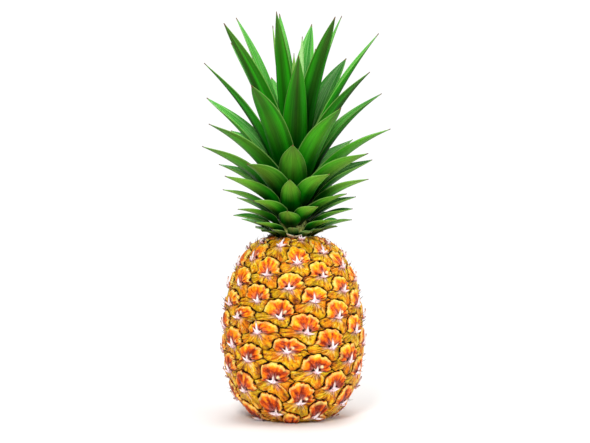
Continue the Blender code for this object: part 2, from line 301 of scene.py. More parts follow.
skin = bmesh.new()
eyes = []  # of each whole fruitlet: its number, degrees, profile distance, size and skin height
for index in range(LOWEST_CELL, HIGHEST_CELL):
    edge_across, edge_along = cell_outline(index)
    if edge_along.max() <= 0 or edge_along.min() >= path_s[-1]:
        continue
    middle = cell_s[index]
    radius = float(np.interp(middle, path_s, np.maximum(path_r, CROWN_SEAT)))
    scale = math.sqrt(float(np.interp(middle, path_s, cell_areas)) / CELL_AREA)
    out_across = np.radians(edge_across[spoke]) * radius
    out_along = edge_along[spoke] - middle
    across, along = ring * out_across, ring * out_along
    edge = (1 - ring) * np.hypot(out_across, out_along)
    right, left = (edge_along[k] - middle for k in (0, 3 * EDGE_POINTS))
    right /= math.radians(edge_across[0]) * radius
    left /= math.radians(edge_across[3 * EDGE_POINTS]) * radius
    up = along - across * np.where(across > 0, right, left)
    wobble = random.Random(2000 + index)
    up -= DOME_FOOT * scale * smooth(0.6, 0.95, np.abs(across) / (15 * MM * scale))
    up += 0.5 * MM * np.sin(across / (2.2 * MM) + wobble.uniform(0, 6)) + wobble.uniform(0, 1) * MM
    turn = spoke / (6 * EDGE_POINTS)
    lift, inside, crease = cell_relief(index, across, up, edge, ring, turn, scale)
    place = middle + along
    lift *= smooth(0, END_FADE, place) * smooth(0, END_FADE, path_s[-1] - place)
    degrees = cell_turn[index] + np.degrees(across / radius)
    lift = np.where(place < rim_s, np.minimum(lift, 0), lift)
    points = on_skin(degrees, place, lift)
    copy = disc.copy()
    copy.vertices.foreach_set("co", points.astype(np.float32).ravel())
    chance = random.Random(7000 + index).random()
    maps = {
        "polar": (loop_turn, ring[loop_vertex]),
        "eye": (across[loop_vertex] / (10 * MM * scale), up[loop_vertex] / (10 * MM * scale)),
        "lot": (np.full(len(loop_vertex), chance), inside[loop_vertex] / (10 * MM)),
        "fold": (crease[loop_vertex], np.zeros(len(loop_vertex))),
    }
    for name, values in maps.items():
        copy.uv_layers[name].data.foreach_set("uv", np.stack(values, axis=-1).astype(np.float32).ravel())
    skin.from_mesh(copy)
    bpy.data.meshes.remove(copy)
    if rim_s + 3 * MM < middle < path_s[-1] - 3 * MM:
        eyes.append((index, cell_turn[index], middle, scale, float(lift[ring.argmin()])))

# Faces pressed flat on the two rims go, the cells are welded, and what that leaves loose goes too
top_z = float(path_z[-1])
ends = []
for face in skin.faces:
    if all(v.co.z < 1e-6 and v.co.xy.length < STALK_HOLE + 1e-6 for v in face.verts):
        ends.append(face)
    elif all(v.co.z > top_z - 1e-6 and v.co.xy.length < CROWN_SEAT + 1e-5 for v in face.verts):
        ends.append(face)
bmesh.ops.delete(skin, geom=ends, context="FACES")
bmesh.ops.remove_doubles(skin, verts=skin.verts, dist=2e-6)
bmesh.ops.dissolve_degenerate(skin, dist=1e-6, edges=skin.edges)
fins = [
    face for face in skin.faces
    if any(e.is_boundary for e in face.edges) and any(len(e.link_faces) > 2 for e in face.edges)
]
bmesh.ops.delete(skin, geom=fins, context="FACES")
bmesh.ops.delete(skin, geom=[e for e in skin.edges if e.is_wire], context="EDGES")
bmesh.ops.delete(skin, geom=[v for v in skin.verts if not v.link_faces], context="VERTS")
bmesh.ops.holes_fill(skin, edges=[e for e in skin.edges if e.is_boundary], sides=SMALL_HOLE)

# The two rims run down into the stalk's pocket and the crown's seat, which are closed
for level, depth in ((0, POCKET_DEPTH), (top_z, -SEAT_DEPTH)):
    rim = [e for e in skin.edges if e.is_boundary and abs(e.verts[0].co.z - level) < 1 * MM]
    made = bmesh.ops.extrude_edge_only(skin, edges=rim)["geom"]
    corners = [part for part in made if isinstance(part, bmesh.types.BMVert)]
    bmesh.ops.translate(skin, verts=corners, vec=(0, 0, depth))
    bmesh.ops.contextual_create(skin, geom=[part for part in made if isinstance(part, bmesh.types.BMEdge)])
bpy.data.meshes.remove(disc)


def new_piece(name, bm):
    """A smooth object of that name, from a bmesh."""
    mesh = bpy.data.meshes.new(name)
    bm.to_mesh(mesh)
    bm.free()
    mesh.shade_smooth()
    made = bpy.data.objects.new(name, mesh)
    bpy.context.scene.collection.objects.link(made)
    return made


fruit = new_piece("fruit_skin", skin)


def linear(code):
    """An sRGB hex colour as linear red, green, blue and alpha."""
    values = [int(code[k:k + 2], 16) / 255 for k in (0, 2, 4)]
    return tuple(v / 12.92 if v <= 0.04045 else ((v + 0.055) / 1.055) ** 2.4 for v in values) + (1.0,)


def add_node(tree, kind, inputs=None, stops=None, out=None, **settings):
    """A shader node, or its output out. inputs gives its sockets values, hex colours or the
    sockets that feed them, and stops a ramp's (place, hex colour) pairs. A colour mix's factor,
    A and B are inputs 0, 6 and 7, and its result is output 2."""
    made = tree.nodes.new("ShaderNode" + kind)
    for name, value in settings.items():
        setattr(made, name, value)
    for key, value in (inputs or {}).items():
        if isinstance(value, bpy.types.NodeSocket):
            tree.links.new(value, made.inputs[key])
        else:
            made.inputs[key].default_value = linear(value) if isinstance(value, str) else value
    for number, (place, code) in enumerate(stops or ()):
        ramp = made.color_ramp.elements
        stop = ramp[number] if number < 2 else ramp.new(place)
        stop.position = place
        stop.color = linear(code)
    return made if out is None else made.outputs[out]


# Ripe rind: thin wax over orange flesh, so the domes glint. Colour runs from gold at the
# shoulders to red-orange at the base, with a painted cream highlight along each dome's edge and painted
# near-black shade in the crevices.
rind = bpy.data.materials.new("ripe_rind")
rind.use_nodes = True
tree = rind.node_tree
polar = add_node(tree, "SeparateXYZ", {0: add_node(tree, "UVMap", uv_map="polar", out=0)})
ring_share = polar.outputs["Y"]
eye_map = add_node(tree, "UVMap", uv_map="eye", out=0)
eye = add_node(tree, "SeparateXYZ", {0: eye_map})
lot = add_node(tree, "SeparateXYZ", {0: add_node(tree, "UVMap", uv_map="lot", out=0)})
crease = add_node(tree, "SeparateXYZ", {0: add_node(tree, "UVMap", uv_map="fold", out=0)}, out="X")
where = add_node(tree, "TexCoord", out="Object")
height = add_node(tree, "SeparateXYZ", {0: where}, out="Z")
ripeness = add_node(tree, "MapRange", {0: height, 1: 0.0, 2: 0.15, 3: 0.0, 4: 1.0}, out=0)
inputs = {"Vector": where, "Scale": 260.0, "Detail": 3.0, "Roughness": 0.65}
mottle = add_node(tree, "TexNoise", inputs, out=0)
grain = add_node(tree, "TexNoise", {"Vector": where, "Scale": 700.0, "Detail": 3.0, "Roughness": 0.7}, out=0)
wander = add_node(tree, "Math", {0: mottle, 1: 0.24, 2: -0.12}, out=0, operation="MULTIPLY_ADD")

# Pleats spread from the eye: noise drawn out along them, with about so many round a fruitlet
own = add_node(tree, "Math", {0: lot.outputs["X"], 1: 37.0}, out=0, operation="MULTIPLY")
bent = add_node(tree, "Math", {0: mottle, 1: 0.05, 2: polar.outputs["X"]}, out=0, operation="MULTIPLY_ADD")
spread = add_node(tree, "CombineXYZ", {0: bent, 1: ring_share, 2: own}, out=0)
pleats = []
for number, along, detail in ((15, 1.5, 2.0), (24, 1.6, 2.0), (54, 2.2, 3.0), (34, 0.6, 1.0)):
    at = add_node(tree, "VectorMath", {0: spread, 1: (number, along, 1)}, out=0, operation="MULTIPLY")
    inputs = {"Vector": at, "Scale": 1.0, "Detail": detail, "Roughness": 0.6}
    pleats.append(add_node(tree, "TexNoise", inputs, out=0))
broad, folds, fine, beads = pleats

# A dome's colour runs from red-brown to gold with its own mottling. It is painted lighter as highlight where
# it swells and towards its rim, and painted darker as shade into its creases and sunken eye
tone = add_node(tree, "Math", {0: mottle, 1: 0.5, 2: -0.63}, out=0, operation="MULTIPLY_ADD")
for part, weight in ((broad, 1.0), (ring_share, 0.4), (crease, -0.22), (ripeness, 0.22)):
    tone = add_node(tree, "Math", {0: part, 1: weight, 2: tone}, out=0, operation="MULTIPLY_ADD")
dome = add_node(tree, "ValToRGB", {0: tone}, [
    (0.24, "8A2404"), (0.35, "CC4806"), (0.45, "F06C06"),
    (0.55, "FC9608"), (0.67, "FFC41C"), (0.82, "FFE66C"),
], out=0)
# A cream band just inside each dome's rounded edge, broken into beads, is a painted highlight
inset = add_node(tree, "Math", {0: lot.outputs["Y"], 1: wander}, out=0, operation="ADD")
near = add_node(tree, "Math", {0: beads, 1: -0.16, 2: inset}, out=0, operation="MULTIPLY_ADD")
rim = add_node(tree, "ValToRGB", {0: near}, [
    (0.0, "000000"), (0.02, "FFFFFF"), (0.13, "C0C0C0"), (0.28, "000000"),
], out=0)
beaded = add_node(tree, "MapRange", {0: beads, 1: 0.36, 2: 0.52, 3: 0.25, 4: 1.0}, out=0)
rim = add_node(tree, "Math", {0: rim, 1: beaded}, out=0, operation="MULTIPLY")
dome = add_node(tree, "Mix", {0: rim, 6: dome, 7: "FFE27C"}, out=2, data_type="RGBA")

# The bract's fan is yellow over green. It is painted brown as shade in the pleats' hollows
tint = add_node(tree, "Math", {0: mottle, 1: 0.3, 2: -0.15}, out=0, operation="MULTIPLY_ADD")
tint = add_node(tree, "Math", {0: folds, 1: tint}, out=0, operation="ADD")
fan = add_node(tree, "ValToRGB", {0: tint}, [
    (0.31, "6A2C02"), (0.40, "BC6A02"), (0.49, "E89A04"), (0.60, "FCC614"), (0.76, "FFE85C"),
], out=0)
patches = add_node(tree, "TexNoise", {"Vector": where, "Scale": 75.0, "Detail": 2.0}, out=0)
# Green and orange patches are the bract's own colour; the pale and dark fine lines are painted highlight and
# painted shade
for mask, low, high, most, code in (
    (patches, 0.50, 0.66, 0.45, "B4A808"), (patches, 0.48, 0.36, 0.6, "EC7406"),
    (mottle, 0.54, 0.66, 0.5, "CC5006"), (fine, 0.58, 0.67, 0.7, "FFE97C"), (fine, 0.41, 0.35, 0.8, "5A2A04"),
):
    share = add_node(tree, "MapRange", {0: mask, 1: low, 2: high, 3: 0.0, 4: most}, out=0)
    fan = add_node(tree, "Mix", {0: share, 6: fan, 7: code}, out=2, data_type="RGBA")

level = add_node(tree, "Math", {0: wander, 1: 0.6, 2: eye.outputs["Y"]}, out=0, operation="MULTIPLY_ADD")
is_dome = add_node(tree, "MapRange", {0: level, 1: -0.02, 2: 0.02}, out=0)
colour = add_node(tree, "Mix", {0: is_dome, 6: fan, 7: dome}, out=2, data_type="RGBA")

# The slit between dome and bract, painted dark brown as shade where the two part
gape = add_node(tree, "Math", {0: level}, out=0, operation="ABSOLUTE")
slit = add_node(tree, "MapRange", {0: gape, 1: 0.03, 2: 0.09, 3: 1.0, 4: 0.0}, out=0)
for mask, low, high, most in ((broad, 0.40, 0.55, 1.0), (ring_share, 0.12, 0.3, 0.9)):
    share = add_node(tree, "MapRange", {0: mask, 1: low, 2: high, 3: 0.0, 4: most}, out=0)
    slit = add_node(tree, "Math", {0: slit, 1: share}, out=0, operation="MULTIPLY")
colour = add_node(tree, "Mix", {0: slit, 6: colour, 7: "4A1A06"}, out=2, data_type="RGBA")

# Dry bract skin, pinkish white, spreads from the eye along the slit and down the pleats
papery = add_node(tree, "MapRange", {0: ring_share, 1: 0.08, 2: 0.50, 3: 1.15, 4: 0.0}, out=0)
for mask, low, high, first, last in ((fine, 0.43, 0.56, 0.0, 1.0), (eye.outputs["Y"], 0.0, 0.25, 1.0, 0.35)):
    share = add_node(tree, "MapRange", {0: mask, 1: low, 2: high, 3: first, 4: last}, out=0)
    papery = add_node(tree, "Math", {0: papery, 1: share}, out=0, operation="MULTIPLY")
colour = add_node(tree, "Mix", {0: papery, 6: colour, 7: "F4CED0"}, out=2, data_type="RGBA")

# Pits beside the bract's tip, painted near-black as shade, and a pale cream painted highlight on a swelling
# beyond one of them
side = add_node(tree, "Math", {0: eye.outputs["X"]}, out=0, operation="ABSOLUTE")
mirrored = add_node(tree, "CombineXYZ", {0: side, 1: level}, out=0)
pit = add_node(tree, "VectorMath", {0: mirrored, 1: (0.27, 0.10, 0)}, out="Value", operation="DISTANCE")
pit = add_node(tree, "Math", {0: pit, 1: wander}, out=0, operation="ADD")
pit = add_node(tree, "MapRange", {0: pit, 1: 0.09, 2: 0.19, 3: 0.95, 4: 0.0}, out=0)
colour = add_node(tree, "Mix", {0: pit, 6: colour, 7: "2A0C04"}, out=2, data_type="RGBA")
pearl = add_node(tree, "VectorMath", {0: eye_map, 1: (0.42, 0.40, 0)}, out="Value", operation="DISTANCE")
pearl = add_node(tree, "Math", {0: pearl, 1: wander}, out=0, operation="ADD")
pearl = add_node(tree, "MapRange", {0: pearl, 1: 0.08, 2: 0.17, 3: 0.9, 4: 0.0}, out=0)
some = add_node(tree, "MapRange", {0: lot.outputs["X"], 1: 0.3, 2: 0.5}, out=0)
pearl = add_node(tree, "Math", {0: pearl, 1: some}, out=0, operation="MULTIPLY")
colour = add_node(tree, "Mix", {0: pearl, 6: colour, 7: "FFE9B0"}, out=2, data_type="RGBA")

# Colour breaks up finely all over. Painted shade darkens it towards the crevice, and the crevice itself is
# painted near-black as shade
speck = add_node(tree, "MapRange", {0: grain, 1: 0.3, 2: 0.7, 3: 0.7, 4: 1.22}, out=0)
colour = add_node(tree, "VectorMath", {0: colour, 1: speck}, out=0, operation="MULTIPLY")
shade = add_node(tree, "MapRange", {0: inset, 1: 0.10, 2: 0.26, 3: 0.55, 4: 0.0}, out=0)
for mask, low, high, first, last in ((mottle, 0.35, 0.6, 1.0, 0.3), (is_dome, 0.0, 1.0, 1.0, 0.2)):
    share = add_node(tree, "MapRange", {0: mask, 1: low, 2: high, 3: first, 4: last}, out=0)
    shade = add_node(tree, "Math", {0: shade, 1: share}, out=0, operation="MULTIPLY")
colour = add_node(tree, "Mix", {0: shade, 6: colour, 7: "4E2206"}, out=2, data_type="RGBA")
crevice = add_node(tree, "MapRange", {0: inset, 1: 0.03, 2: 0.075, 3: 1.0, 4: 0.0}, out=0)
colour = add_node(tree, "Mix", {0: crevice, 6: colour, 7: "1C0B04"}, out=2, data_type="RGBA")

lines = add_node(tree, "Mix", {0: is_dome, 2: folds, 3: broad}, out=0)
swell = None
for pattern, strength, distance in ((lines, 0.8, 2.2), (mottle, 0.6, 1.4), (grain, 0.4, 0.7)):
    inputs = {"Height": pattern, "Strength": strength, "Distance": distance * MM}
    if swell:
        inputs["Normal"] = swell
    swell = add_node(tree, "Bump", inputs, out=0)
waxy = add_node(tree, "MapRange", {0: mottle, 1: 0.3, 2: 0.7, 3: 0.26, 4: 0.5}, out=0)
rough = add_node(tree, "Mix", {0: crevice, 2: waxy, 3: 0.9}, out=0)
shader = tree.nodes["Principled BSDF"]
tree.links.new(colour, shader.inputs["Base Color"])
tree.links.new(rough, shader.inputs["Roughness"])
tree.links.new(swell, shader.inputs["Normal"])
shader.inputs["IOR"].default_value = 1.4
shader.inputs["Specular IOR Level"].default_value = 0.2
fruit.data.materials.append(rind)
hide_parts("fruit")
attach(fruit, "root")


# Bract tips. Each fruitlet's bract dries to papery, pinkish-white tongues: a long one that lies up
# over the dome from the eye, and one splayed out on each side. They are scorched at the point.
TIP_LENGTH = 11.0 * MM
TIP_HALF_WIDTH = 1.35 * MM
ROOT_HALF_WIDTH = 4.2 * MM
TIP_COLUMNS = 4
TIP_ROWS = 11
TIP_DROP = 2.4 * MM  # how far below the eye the tongues are rooted
TONGUES = ((0, 1), (-0.95, 0.62), (0.95, 0.62))  # each one's slant in radians and share of the size



def join_part(whole, part, points, places):
    """Moves a bmesh's vertices to points, maps them to places and joins it to the whole."""
    part.verts.index_update()
    for vertex, point in zip(part.verts, points):
        vertex.co = point
    bmesh.ops.recalc_face_normals(part, faces=part.faces)
    blade = part.loops.layers.uv.new("blade")
    for face in part.faces:
        for loop in face.loops:
            loop[blade].uv = places[loop.vert.index]
    mesh = bpy.data.meshes.new("part")
    part.to_mesh(mesh)
    part.free()
    whole.from_mesh(mesh)
    bpy.data.meshes.remove(mesh)


tips = bmesh.new()
for number, degrees, middle, scale, sunk in eyes:
    dice = random.Random(3000 + number)
    for slant, share in TONGUES:
        tongue = bmesh.new()
        bmesh.ops.create_grid(tongue, x_segments=TIP_COLUMNS, y_segments=TIP_ROWS, size=1)
        bmesh.ops.solidify(tongue, geom=tongue.faces[:], thickness=0.1)
        spots = np.array([v.co for v in tongue.verts])
        across, along, upper = spots[:, 0], (spots[:, 1] + 1) / 2, spots[:, 2] > -0.01
        length = TIP_LENGTH * scale * share * dice.uniform(0.6, 1.15)
        sway = slant * dice.uniform(0.6, 1.3) + dice.uniform(-0.2, 0.3)
        fray = 1 + 0.35 * np.sin(dice.uniform(9, 16) * along + dice.uniform(0, 6)) * (1 - along)
        half = TIP_HALF_WIDTH * share * (1 - along) ** 0.8 * dice.uniform(0.75, 1.25) * fray + 0.12 * MM
        half = half + ROOT_HALF_WIDTH * share**2 * np.exp(-((along / 0.13) ** 2)) * dice.uniform(0.6, 1)
        x = across * half * math.cos(sway) + length * math.sin(sway) * along**1.2
        y = length * math.cos(sway) * along - across * half * math.sin(sway) - TIP_DROP
        y = y + 1.6 * MM * across**2 * (1 - along) ** 4
        ruffle = 0.35 * MM * np.sin(7 * across + dice.uniform(0, 6)) * (1 - along)
        lift = sunk + 0.9 * MM + 2.5 * MM * np.sin(1.4 * along) * dice.uniform(0.7, 1.4)
        lift = lift + ruffle - 0.9 * MM * across**2 + np.where(upper, 0.9, 0) * MM * (1.05 - along)
        radius = max(float(np.interp(middle, path_s, path_r)), CROWN_SEAT)
        points = on_skin(degrees + np.degrees(x / radius), np.maximum(middle + y, 1 * MM), lift)
        places = np.stack([across + 10 * number + 3 * slant, along], axis=-1)
        join_part(tips, tongue, points, places)
bract_tips = new_piece("bract_tips", tips)

# Dry plant skin: matt, thin and fibrous, pinkish white at the root and browned at the point
husk = bpy.data.materials.new("dry_bract")
husk.use_nodes = True
tree = husk.node_tree
blade = add_node(tree, "UVMap", uv_map="blade", out=0)
along = add_node(tree, "SeparateXYZ", {0: blade}, out="Y")
fibre_at = add_node(tree, "Mapping", {"Vector": blade, "Scale": (2.6, 1.2, 1)}, out=0)
fibre = add_node(tree, "TexNoise", {"Vector": fibre_at, "Scale": 1.0, "Detail": 3.0}, out=0)
waver = add_node(tree, "Math", {0: fibre, 1: 0.5, 2: -0.25}, out=0, operation="MULTIPLY_ADD")
along = add_node(tree, "Math", {0: along, 1: waver}, out=0, operation="ADD")
colour = add_node(tree, "ValToRGB", {0: along}, [
    (0.0, "D08C80"), (0.12, "F0C8D0"), (0.3, "FFF2FA"),
    (0.68, "FFF0E8"), (0.84, "D8A080"), (1.0, "5A2016"),
], out=0)
vein = add_node(tree, "MapRange", {0: fibre, 1: 0.36, 2: 0.5, 3: 0.55, 4: 0.0}, out=0)
colour = add_node(tree, "Mix", {0: vein, 6: colour, 7: "C28E86"}, out=2, data_type="RGBA")
crinkle = add_node(tree, "Bump", {"Height": fibre, "Strength": 0.5, "Distance": 0.5 * MM}, out=0)
shader = tree.nodes["Principled BSDF"]
tree.links.new(colour, shader.inputs["Base Color"])
tree.links.new(crinkle, shader.inputs["Normal"])
shader.inputs["Roughness"].default_value = 0.6
bract_tips.data.materials.append(husk)
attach(bract_tips, "root")


# Bract spines. The edges of the bracts carry short, hard, red-brown hooks, which stand up out of
# the crevices beside each dome and bristle along the fruit's outline.
SPINE_LENGTH = 4.6 * MM
SPINE_RADIUS = 0.34 * MM
SPINES_EACH = 4
SPINE_PLACES = (3, 10, 27, 34, 39, 68)  # of a cell's edge points: where its bract's edge runs
PLACE_SPREAD = 3
END_CLEARANCE = 4 * MM

spines = bmesh.new()
for number, degrees, middle, scale, sunk in eyes:
    dice = random.Random(4000 + number)
    edge_across, edge_along = cell_outline(number)
    for k in range(SPINES_EACH):
        at = dice.choice(SPINE_PLACES) + dice.uniform(-PLACE_SPREAD, PLACE_SPREAD)
        at = int(at) % len(edge_across)
        foot_along = float(edge_along[at])
        if not rim_s + END_CLEARANCE < foot_along < path_s[-1] - END_CLEARANCE:
            continue
        hook = bmesh.new()
        bmesh.ops.create_cone(hook, cap_ends=True, segments=6, radius1=1, radius2=1, depth=2)
        sides = [e for e in hook.edges if abs(e.verts[0].co.z - e.verts[1].co.z) > 1]
        bmesh.ops.subdivide_edges(hook, edges=sides, cuts=3)
        round_it = np.array([v.co for v in hook.verts])
        along = (round_it[:, 2] + 1) / 2
        length = SPINE_LENGTH * dice.uniform(0.6, 1.4)
        thick = SPINE_RADIUS * (1.15 - along)
        lean = dice.uniform(-0.5, 0.5)
        rise = length * dice.uniform(0.4, 0.8)
        x = thick * round_it[:, 0] + length * lean * along**2
        y = thick * round_it[:, 1] + rise * along**1.5
        lift = CREVICE_LEVEL + 0.3 * MM + along * (length * dice.uniform(0.55, 0.8) - CREVICE_LEVEL)
        radius = float(np.interp(foot_along, path_s, path_r))
        turn = degrees + float(edge_across[at]) + np.degrees(x / radius)
        places = np.stack([np.full(len(along), number + k / SPINES_EACH), along], axis=-1)
        join_part(spines, hook, on_skin(turn, foot_along + y, lift), places)
bract_spines = new_piece("bract_spines", spines)

# Dead horn: hard, thin and dull, red-brown with a paler root
horn = bpy.data.materials.new("dry_horn")
horn.use_nodes = True
tree = horn.node_tree
blade = add_node(tree, "UVMap", uv_map="blade", out=0)
along = add_node(tree, "SeparateXYZ", {0: blade}, out="Y")
streak = add_node(tree, "TexNoise", {"Vector": blade, "Scale": 6.0, "Detail": 2.0}, out=0)
along = add_node(tree, "Math", {0: streak, 1: 0.4, 2: along}, out=0, operation="MULTIPLY_ADD")
colour = add_node(tree, "ValToRGB", {0: along}, [
    (0.15, "A05A34"), (0.4, "7E3420"), (0.75, "5A1C14"), (1.0, "3A0E0C"),
], out=0)
shader = tree.nodes["Principled BSDF"]
tree.links.new(colour, shader.inputs["Base Color"])
dents = add_node(tree, "Bump", {"Height": streak, "Strength": 0.4, "Distance": 0.3 * MM}, out=0)
tree.links.new(dents, shader.inputs["Normal"])
shader.inputs["Roughness"].default_value = 0.55
bract_spines.data.materials.append(horn)
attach(bract_spines, "root")


# Cut stalk. The stub of the fibrous stalk that the fruit grew on, sliced level with the base and
# dried: pale tan pith with a ring of darker strands, inside a thin brown bark.
STALK_RADIUS = 11 * MM
STALK_DEPTH = 6 * MM

bm = bmesh.new()
rim = [bm.verts.new(p) for p in (
    (0, 0, STALK_DEPTH), (STALK_RADIUS - 1 * MM, 0, STALK_DEPTH), (STALK_RADIUS, 0, STALK_DEPTH - 1 * MM),
    (STALK_RADIUS, 0, 0.5 * MM), (STALK_RADIUS - 0.3 * MM, 0, 0), (STALK_RADIUS * 0.66, 0, 0),
    (STALK_RADIUS * 0.33, 0, 0), (0, 0, 0),
)]
for a, b in zip(rim, rim[1:]):
    bm.edges.new((a, b))
bmesh.ops.spin(
    bm, geom=bm.verts[:] + bm.edges[:], cent=(0, 0, 0), axis=(0, 0, 1),
    angle=2 * math.pi, steps=64, use_merge=True,
)
bmesh.ops.remove_doubles(bm, verts=bm.verts, dist=1e-5)
bmesh.ops.recalc_face_normals(bm, faces=bm.faces)
for v in bm.verts:
    if v.co.z < 0.1 * MM and v.co.xy.length < STALK_RADIUS * 0.7:
        v.co.z += 0.25 * MM * (1 + noise.noise(v.co * 400))  # a knife leaves the pith uneven
stalk = new_piece("stalk_end", bm)
stalk.data.set_sharp_from_angle(angle=math.radians(35))

# Dried pith: strands about 1 mm across, cut end-on, brown bark outside
pith = bpy.data.materials.new("dried_pith")
pith.use_nodes = True
tree = pith.node_tree
where = add_node(tree, "TexCoord", out="Object")
strands = add_node(tree, "TexVoronoi", {"Vector": where, "Scale": 900.0}, out="Distance")
stain = add_node(tree, "TexNoise", {"Vector": where, "Scale": 160.0, "Detail": 3.0}, out=0)
shade = add_node(tree, "Math", {0: strands, 1: stain}, out=0, operation="MULTIPLY")
colour = add_node(tree, "ValToRGB", {0: shade}, [
    (0.05, "6E4A22"), (0.2, "A67E46"), (0.4, "CDAE74"), (0.6, "E2CB98"),
], out=0)
flat = add_node(tree, "VectorMath", {0: where, 1: (1, 1, 0)}, out=0, operation="MULTIPLY")
from_axis = add_node(tree, "VectorMath", {0: flat}, out="Value", operation="LENGTH")
bark = add_node(tree, "MapRange", {0: from_axis, 1: 9.8 * MM, 2: 10.6 * MM}, out=0)
colour = add_node(tree, "Mix", {0: bark, 6: colour, 7: "5A3A1C"}, out=2, data_type="RGBA")
rough_cut = add_node(tree, "Bump", {"Height": shade, "Strength": 0.6, "Distance": 1 * MM}, out=0)
shader = tree.nodes["Principled BSDF"]
tree.links.new(colour, shader.inputs["Base Color"])
tree.links.new(rough_cut, shader.inputs["Normal"])
shader.inputs["Roughness"].default_value = 0.85
stalk.data.materials.append(pith)
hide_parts("cut_stalk")
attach(stalk, "root")


# Crown stem. The short, pale woody core that the crown's leaves wrap, ringed with the scars of
# leaves already lost. It stands in a shallow seat on the fruit's top.
CROWN_FOOT = float(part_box("crown_stem")[0][2])
STEM_PROFILE = ((0, 17), (10, 12.5), (50, 3.4))  # height and radius, mm
SCAR_PITCH = 2.6 * MM


def stem_radius(height):
    """Of the crown's stem, at a height over its foot."""
    return np.interp(height, *(np.array(side) * MM for side in zip(*STEM_PROFILE)))


bm = bmesh.new()
bmesh.ops.create_cone(bm, cap_ends=True, segments=48, radius1=1, radius2=1, depth=2)
sides = [e for e in bm.edges if abs(e.verts[0].co.z - e.verts[1].co.z) > 1]
bmesh.ops.subdivide_edges(bm, edges=sides, cuts=70)
for v in bm.verts:
    share = (v.co.z + 1) / 2
    height = share * STEM_PROFILE[-1][0] * MM
    turn = math.atan2(v.co.y, v.co.x)
    scar = 0.35 * MM * abs(math.sin(math.pi * (height + 0.8 * MM * math.sin(3 * turn)) / SCAR_PITCH))
    scar *= min(1, 8 * share) * min(1, 8 * (1 - share))
    radius = float(stem_radius(height)) - scar
    v.co = (radius * math.cos(turn), radius * math.sin(turn), CROWN_FOOT + height)
core = new_piece("crown_core", bm)
core.data.set_sharp_from_angle(angle=math.radians(50))

# Green wood: matt and fibrous, pale green with brown leaf scars
green_wood = bpy.data.materials.new("green_wood")
green_wood.use_nodes = True
tree = green_wood.node_tree
where = add_node(tree, "TexCoord", out="Object")
fibre_at = add_node(tree, "Mapping", {"Vector": where, "Scale": (600, 600, 90)}, out=0)
fibre = add_node(tree, "TexNoise", {"Vector": fibre_at, "Scale": 1.0, "Detail": 3.0}, out=0)
colour = add_node(tree, "ValToRGB", {0: fibre}, [
    (0.3, "5A4A20"), (0.45, "7E8638"), (0.6, "A9B45C"), (0.75, "D2D29A"),
], out=0)
grooves = add_node(tree, "Bump", {"Height": fibre, "Strength": 0.5, "Distance": 0.6 * MM}, out=0)
shader = tree.nodes["Principled BSDF"]
tree.links.new(colour, shader.inputs["Base Color"])
tree.links.new(grooves, shader.inputs["Normal"])
shader.inputs["Roughness"].default_value = 0.75
core.data.materials.append(green_wood)
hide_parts("crown_stem")
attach(core, "root")


# Crown leaves. Stiff, channelled blades that clasp the stem on a second spiral, each one wide
# low down and drawn to a spine. Outer leaves are short and bow down, inner ones tall and upright.
LEAF_COUNT = 56
LEAF_TURN = -138.2  # degrees
FIRST_LEAF = 239  # degrees from the front, towards +X
LEAF_HEIGHTS = (3 * MM, 45.5 * MM)  # of the lowest and highest leaf's foot
LENGTHS = (38, 160, 150)  # millimetres: the lowest leaf, the longest and the highest
LONGEST_PLACE = 0.9  # share of the way up
LENGTH_RISE = 1.9  # how late on the way up the leaves grow long
LEAF_FORMS = (  # share of the way up: width and foot width, mm, and lean at foot and tip, degrees
    (0.00, 15, 9.0, 60, 88), (0.29, 19, 8.0, 49, 80), (0.53, 26, 7.5, 37, 74),
    (0.65, 27, 7.0, 29, 68), (0.76, 26, 6.0, 17, 53), (0.90, 23, 4.4, 11, 38),
    (1.00, 17, 3.2, 5, 11),
)
FRONT_LEAVES = {  # the front column's leaves are shorter, straighter and rounder, like buds
    7: (33, 21, 8.5, 49, 68), 20: (54, 20, 8.0, 40, 60), 33: (76, 29, 7.2, 31, 58),
    46: (134, 25, 5.0, 13, 44),
}
CHANNEL_RADIUS = 15 * MM  # of the gutter that a blade makes
MOST_WRAP_LEAN = 1.2  # radians, past which the gutter opens no further
WIDEST = 0.3  # share of a leaf's length
TAPER = 2.7  # how late a leaf narrows to its tip
BUD_TAPER = 2.0
RIB_THICKNESS = 1.7 * MM
EDGE_THICKNESS = 0.45 * MM
LEAF_COLUMNS = 14


